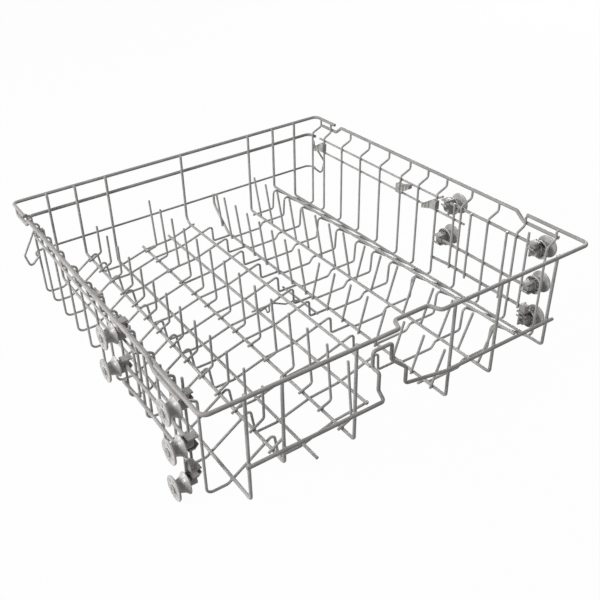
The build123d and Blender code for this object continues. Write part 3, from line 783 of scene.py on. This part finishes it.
def slab(shape, outline, start, end, along_x):
    """A plate from an outline, YZ or XZ, that is thick from start to end along X or Y."""
    rings = []
    for depth in (start, end):
        places = [(depth, u, v) if along_x else (u, depth, v) for u, v in outline]
        rings.append([shape.verts.new(place) for place in places])
    near, far = rings
    faces = [shape.faces.new(near), shape.faces.new(far)]
    for i in range(len(near)):
        faces.append(shape.faces.new((near[i - 1], near[i], far[i], far[i - 1])))
    bmesh.ops.recalc_face_normals(shape, faces=faces)


def oval(centre, wide, tall, steps):
    """An outline in YZ round a centre, flatter than an ellipse at its sides."""
    flatness = 0.7
    outline = []
    for i in range(steps):
        angle = math.tau * i / steps
        y = math.copysign(abs(math.cos(angle)) ** flatness, math.cos(angle))
        z = math.copysign(abs(math.sin(angle)) ** flatness, math.sin(angle))
        outline.append((centre.y + wide * y, centre.z + tall * z))
    return outline


def lathed(shape, profile, centre, steps):
    """A closed profile of (x, radius) turned once round an axis along X."""
    ring = [shape.verts.new((x, centre.y, centre.z + radius)) for x, radius in profile]
    edges = [shape.edges.new(pair) for pair in zip(ring, ring[1:] + ring[:1])]
    bmesh.ops.spin(shape, geom=ring + edges, cent=centre, axis=(1, 0, 0), angle=math.tau, steps=steps)
    bmesh.ops.remove_doubles(shape, verts=shape.verts, dist=0.001 * mm)
    bmesh.ops.recalc_face_normals(shape, faces=shape.faces)


def moulded(name, shape, rounding):
    """A moulding's bodies as one object, with their edges rounded."""
    mesh = bpy.data.meshes.new(name)
    shape.to_mesh(mesh)
    shape.free()
    piece = bpy.data.objects.new(name, mesh)
    bpy.context.collection.objects.link(piece)
    if rounding:
        bevel = piece.modifiers.new("rounding", "BEVEL")
        bevel.width = rounding
        bevel.segments = 2
        bevel.limit_method = "ANGLE"
        bevel.angle_limit = rounded_above
        rounded = piece.evaluated_get(bpy.context.evaluated_depsgraph_get())
        piece.data = bpy.data.meshes.new_from_object(rounded)
        piece.modifiers.remove(bevel)
        piece.data.name = name
    return piece


def fitted(piece, way, body, node):
    """Puts a finished moulding on its own side of the basket, in place of its CAD node."""
    if way < 0:
        piece.data.transform(Matrix.Scale(-1, 4, (1, 0, 0)))
        piece.data.flip_normals()
    piece.data.polygons.foreach_set("use_smooth", [True] * len(piece.data.polygons))
    piece.data.set_sharp_from_angle(angle=sharp_above)
    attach(piece, body)
    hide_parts(node)


def roller_centre(place):
    """The middle of a roller on the right side."""
    lo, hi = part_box(f"right_{place}_roller")
    return (lo + hi) / 2


# Boss, stub axle and dimpled head as one profile of (x, radius), from the core to the dimple
stub = [
    (boss_in + boss_core_depth, stub_core),
    (boss_in + boss_core_depth, boss_core),
    (boss_in, boss_core),
    (boss_in, boss_radius),
    (holder_out - boss_sink, boss_radius),
    (holder_out - boss_sink, stub_radius),
    (head_start, stub_radius),
    (head_start, head_radius),
    (axle_end - head_edge, head_radius),
    (axle_end, head_radius - head_taper),
    (axle_end, dimple_rim),
    (axle_end - dimple_depth, dimple_radius),
    (axle_end - dimple_depth, stub_core),
]
for side, way in both_sides:
    shape = bmesh.new()
    for place in holders:
        lathed(shape, stub, roller_centre(place), round_steps)
    for place, (carrier, lower_height, upper_height) in holders.items():
        centre = roller_centre(place)
        carrier_z = side_heights[carrier][0]
        back = 1 if "front" in place else -1
        near, far = centre.y - back * sleeve_front, centre.y + back * flange_wide
        flange = oval(centre, flange_wide, flange_tall, round_steps)
        slab(shape, flange, holder_out - flange_thick, holder_out, True)
        low, high = carrier_z - sleeve_foot, carrier_z + sleeve_top
        sleeve = [(sleeve_in, low), (sleeve_out, low), (sleeve_out, high), (sleeve_in, high)]
        slab(shape, sleeve, near, far, False)
        lowest, highest = centre.z - flange_tall, max(centre.z + flange_tall, high)
        wall = [(wall_in, lowest), (wall_out, lowest), (wall_out, highest), (wall_in, highest)]
        slab(shape, wall, far - back * wall_thick, far, False)
        under, over = centre.z + lower_height, centre.z + upper_height
        upper = [
            (holder_in, over - prong_tip),
            (prong_out, over - prong_root),
            (prong_out, over),
            (holder_in, over),
        ]
        lower = [
            (holder_in, under + prong_slope),
            (holder_in + prong_slope, under),
            (prong_out, under),
            (prong_out, under + prong_root),
            (holder_in + prong_slope, under + prong_root),
            (holder_in + prong_lip, under + prong_slope + prong_tip),
        ]
        for prong in (upper, lower):
            slab(shape, prong, centre.y - back * prong_front, far - back * prong_sink, False)
    piece = moulded(f"{side}_axle_holders", shape, holder_rounding)
    made_real(piece, moulding_tree, {"Plastic": shaded_holder_plastic})
    fitted(piece, way, "basket", f"{side}_axles")

# Rollers: grooved wheels moulded in light grey plastic, free to turn on their axles.
# A thin outer disc and a trumpet-shaped waist guide the basket on the tub's rail between them.
# The disc's dished face has low ribs, and the inner end is cored out round the hub with ribs across.
roller_plastic = finish_of("light_grey_roller_plastic", (0.4, 0.394, 0.386), (0.32, 0.315, 0.308),
                           140.0, 1500.0, (0.26, 0.42), 0.04 * mm, 0.5)


def rib_tree():
    """Nodes that join ribs to a turned body, evenly round its axis along X."""
    inputs = {"Body": "Geometry", "Count": "Int", "Size": "Vector", "Offset": "Vector",
              "Axis": "Vector", "Plastic": "Material"}
    outputs = {"Roller": "Geometry"}
    tree, given, result, nodes, link = node_tree("radial_ribs", "GeometryNodeTree", inputs, outputs)
    rib = nodes.new("GeometryNodeMeshCube")
    moved = nodes.new("GeometryNodeTransform")
    points = nodes.new("GeometryNodePoints")
    index = nodes.new("GeometryNodeInputIndex")
    share = nodes.new("ShaderNodeMath")
    share.operation = "DIVIDE"
    turn = nodes.new("ShaderNodeMath")
    turn.operation = "MULTIPLY"
    turn.inputs[1].default_value = math.tau
    angles = nodes.new("ShaderNodeCombineXYZ")
    rotation = nodes.new("FunctionNodeEulerToRotation")
    copies = nodes.new("GeometryNodeInstanceOnPoints")
    real = nodes.new("GeometryNodeRealizeInstances")
    joined = nodes.new("GeometryNodeMeshBoolean")
    joined.operation = "UNION"
    joined.solver = "EXACT"
    plastic = nodes.new("GeometryNodeSetMaterial")
    link(given.outputs["Size"], rib.inputs["Size"])
    link(rib.outputs["Mesh"], moved.inputs["Geometry"])
    link(given.outputs["Offset"], moved.inputs["Translation"])
    link(given.outputs["Count"], points.inputs["Count"])
    link(given.outputs["Axis"], points.inputs["Position"])
    link(index.outputs["Index"], share.inputs[0])
    link(given.outputs["Count"], share.inputs[1])
    link(share.outputs["Value"], turn.inputs[0])
    link(turn.outputs["Value"], angles.inputs["X"])
    link(angles.outputs["Vector"], rotation.inputs["Euler"])
    link(points.outputs["Points"], copies.inputs["Points"])
    link(moved.outputs["Geometry"], copies.inputs["Instance"])
    link(rotation.outputs["Rotation"], copies.inputs["Rotation"])
    link(copies.outputs["Instances"], real.inputs["Geometry"])
    link(given.outputs["Body"], joined.inputs["Mesh 2"])
    link(real.outputs["Geometry"], joined.inputs["Mesh 2"])
    link(joined.outputs["Mesh"], plastic.inputs["Geometry"])
    link(given.outputs["Plastic"], plastic.inputs["Material"])
    link(plastic.outputs["Geometry"], result.inputs["Roller"])
    return tree


roller_ribs = rib_tree()
roller_steps = 48
# The roller's half section in millimetres, as (place along the axle, radius)
bore_radius = 3.55
hub_radius = 5.4
roller_profile = [
    (0.0, bore_radius), (0.0, hub_radius - 0.3), (0.3, hub_radius), (6.8, hub_radius),
    (6.8, 6.3), (5.2, 7.1), (3.4, 8.3), (1.8, 10.0), (0.9, 11.2), (0.0, 11.7),
    (0.0, 12.4), (0.4, 12.8), (1.1, 12.75), (1.7, 12.2), (2.6, 11.2), (3.8, 10.1),
    (5.2, 9.2), (6.8, 8.5), (8.4, 7.95), (10.0, 7.55), (11.2, 7.4), (11.9, 7.6),
    (12.4, 8.4), (12.7, 9.8), (13.0, 11.8), (13.2, 13.4), (13.6, 14.3), (14.2, 14.7),
    (15.3, 14.7), (15.8, 14.4), (16.0, 13.9), (16.0, 13.0), (15.6, 12.4), (15.3, 11.0),
    (15.2, 8.4), (15.4, 7.0), (16.0, 6.4), (16.0, bore_radius),
]
roller_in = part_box("right_front_top_roller")[0].x
# Ribs on the disc's face and in the core: their count, size and place from the axle
face_ribs = (6, (0.7 * mm, 1.6 * mm, 6.4 * mm), (roller_in + 15.3 * mm, 0.0, 9.6 * mm))
core_ribs = (6, (6.0 * mm, 1.3 * mm, 2.6 * mm), (roller_in + 4.2 * mm, 0.0, 6.4 * mm))
for side, way in both_sides:
    for place in holders:
        node = f"{side}_{place}_roller"
        centre = roller_centre(place)
        shape = bmesh.new()
        profile = [(roller_in + along * mm, radius * mm) for along, radius in roller_profile]
        lathed(shape, profile, centre, roller_steps)
        piece = moulded(f"{side}_{place}_wheel", shape, 0.0)
        axis = Vector((0.0, centre.y, centre.z))
        for count, size, offset in (face_ribs, core_ribs):
            made_real(piece, roller_ribs, {"Count": count, "Size": size, "Offset": offset, "Axis": axis,
                                           "Plastic": roller_plastic})
        fitted(piece, way, node, node)

# Rail clips: cored wedges moulded in grey plastic that snap on a wall wire between the side rails.
# Two of each side's three point backward, and the middle one is upside down and points forward.
clip_plastic = finish_of("grey_clip_plastic", (0.38, 0.37, 0.357), (0.28, 0.272, 0.262),
                         120.0, 1400.0, (0.36, 0.54), 0.04 * mm, 0.5)
clip_lo, clip_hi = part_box("right_rail_clips")
clip_out = clip_hi.x
clip_in = clip_lo.x
clip_web = wall_x - cross_wire / 2
clip_middle = (side_heights["upper_side_rail"][0] + side_heights["lower_side_rail"][0]) / 2
clip_top = 7.75 * mm
clip_foot = -5.75 * mm
clip_tip_top = -5.25 * mm
clip_tip_foot = -11.75 * mm
clip_heel = 4.0 * mm
clip_end = 23.0 * mm
clip_wall = 0.7 * mm
clip_pocket = 2.2 * mm
clip_ribs = (10.5 * mm, 17.0 * mm)
clip_overlap = 0.3 * mm
clip_rounding = 0.3 * mm
wire_room = cross_wire / 2 + film
clip_places = [(cross_places[10], 1), (cross_places[6], -1), (cross_places[4], 1)]


def wedge(shape, sections, inner, outer, pockets):
    """A wedge along Y through sections of (y, low, high), with pockets in its inner face."""
    corners = [(y, z) for y, low, high in sections for z in (low, high)]
    near, far = [[shape.verts.new((x, y, z)) for y, z in corners] for x in (inner, outer)]
    inside = []
    faces = []
    for i in range(0, len(near) - 2, 2):
        inside.append(shape.faces.new([near[i + k] for k in (0, 1, 3, 2)]))
        faces.append(shape.faces.new([far[i + k] for k in (0, 1, 3, 2)]))
        for k in (i, i + 1):
            faces.append(shape.faces.new((near[k], near[k + 2], far[k + 2], far[k])))
    for i in (0, len(near) - 2):
        faces.append(shape.faces.new((near[i], near[i + 1], far[i + 1], far[i])))
    bmesh.ops.recalc_face_normals(shape, faces=faces + inside)
    if pockets:
        bmesh.ops.inset_individual(shape, faces=inside[1:], thickness=clip_wall, depth=-clip_pocket)


def clip_section(y):
    """The clip's lowest and highest points at y from its wire."""
    share = min(max((y - clip_heel) / (clip_end - clip_heel), 0.0), 1.0)
    low = clip_foot + (clip_tip_foot - clip_foot) * share
    high = clip_top + (clip_tip_top - clip_top) * share
    return y, low, high


for side, way in both_sides:
    shape = bmesh.new()
    for y, turn in clip_places:
        clip = bmesh.new()
        web = [clip_section(v) for v in (-clip_heel, clip_heel, *clip_ribs, clip_end)]
        wedge(clip, web, clip_in, clip_web, True)
        for start, end in ((-clip_heel, -wire_room), (wire_room, clip_end)):
            steps = [start, clip_heel, end] if end > clip_heel else [start, end]
            wedge(clip, [clip_section(v) for v in steps], clip_web - clip_overlap, clip_out, False)
        if turn < 0:
            bmesh.ops.scale(clip, vec=(1, -1, -1), verts=clip.verts)
        bmesh.ops.translate(clip, vec=(0, y, clip_middle), verts=clip.verts)
        clip_mesh = bpy.data.meshes.new("clip")
        clip.to_mesh(clip_mesh)
        clip.free()
        shape.from_mesh(clip_mesh)
        bpy.data.meshes.remove(clip_mesh)
    piece = moulded(f"{side}_clips", shape, clip_rounding)
    made_real(piece, moulding_tree, {"Plastic": clip_plastic})
    fitted(piece, way, "basket", f"{side}_rail_clips")

# Studio: a white floor, soft lamps and the camera at the photograph's place.
# The strongest lamp stands on the left, so each upright wire has a bright and a dark side.
floor_paint = 0.4
floor_white = 0.975
floor_size = 14
floor_drop = 0.5 * mm
sky_light = 0.055
sky_white = 1.0
lamp_aim = Vector((0, 0, 50 * mm))


def shown_white(nodes, link):
    """One for rays that see the background directly, in gloss or through glass, else zero."""
    ray = nodes.new("ShaderNodeLightPath")
    either = nodes.new("ShaderNodeMath")
    either.operation = "MAXIMUM"
    any_ray = nodes.new("ShaderNodeMath")
    any_ray.operation = "MAXIMUM"
    link(ray.outputs["Is Camera Ray"], either.inputs[0])
    link(ray.outputs["Is Glossy Ray"], either.inputs[1])
    link(either.outputs["Value"], any_ray.inputs[0])
    link(ray.outputs["Is Transmission Ray"], any_ray.inputs[1])
    return any_ray.outputs["Value"]


white = bpy.data.materials.new("white_floor_paint")
white.use_nodes = True
nodes, link = white.node_tree.nodes, white.node_tree.links.new
paint = nodes["Principled BSDF"]
paint.inputs["Base Color"].default_value = (floor_paint, floor_paint, floor_paint, 1.0)
paint.inputs["Roughness"].default_value = 0.9
glow = nodes.new("ShaderNodeEmission")
glow.inputs["Strength"].default_value = 1.0
seen = nodes.new("ShaderNodeMath")
seen.operation = "MULTIPLY"
seen.inputs[1].default_value = floor_white
mix = nodes.new("ShaderNodeMixShader")
link(shown_white(nodes, link), seen.inputs[0])
link(seen.outputs["Value"], mix.inputs["Fac"])
link(paint.outputs["BSDF"], mix.inputs[1])
link(glow.outputs["Emission"], mix.inputs[2])
link(mix.outputs["Shader"], nodes["Material Output"].inputs["Surface"])
bpy.ops.mesh.primitive_plane_add(size=floor_size, location=(0, 0, -floor_drop))
floor = bpy.context.object
floor.name = "white_floor"
floor.data.materials.append(white)

world = bpy.data.worlds.new("studio")
bpy.context.scene.world = world
world.use_nodes = True
nodes, link = world.node_tree.nodes, world.node_tree.links.new
sky = nodes["Background"]
sky.inputs["Color"].default_value = (1, 1, 1, 1)
level = nodes.new("ShaderNodeMapRange")
level.inputs["To Min"].default_value = sky_light
level.inputs["To Max"].default_value = sky_white
link(shown_white(nodes, link), level.inputs["Value"])
link(level.outputs["Result"], sky.inputs["Strength"])

# Each lamp: its place, its width and its power in watts
lamps = {
    "key_softbox": ((-1.9, -0.1, 1.35), 0.8, 53.0),
    "top_softbox": ((-0.2, 0.5, 2.3), 1.4, 12.0),
    "edge_softbox": ((-1.6, 1.1, 0.5), 0.6, 15.0),
    "front_softbox": ((1.2, -1.1, 1.4), 0.8, 7.0),
    "right_softbox": ((1.9, 1.0, 0.9), 0.8, 26.0),
}
for name, (place, size, power) in lamps.items():
    lamp = bpy.data.lights.new(name, "AREA")
    lamp.size = size
    lamp.energy = power
    light = bpy.data.objects.new(name, lamp)
    light.location = place
    light.rotation_euler = (lamp_aim - Vector(place)).to_track_quat("-Z", "Y").to_euler()
    bpy.context.collection.objects.link(light)

lens = bpy.data.cameras.new("camera")
lens.sensor_width = 36
lens.lens = 47.66
lens.shift_x = 0.0974
lens.shift_y = -0.0165
camera = bpy.data.objects.new("camera", lens)
camera.location = (-0.4884, -0.7577, 0.6307)
camera.rotation_euler = (math.radians(57.294), math.radians(3.097), math.radians(-31.657))
bpy.context.collection.objects.link(camera)
bpy.context.scene.camera = camera
bpy.context.scene.view_settings.view_transform = "Standard"
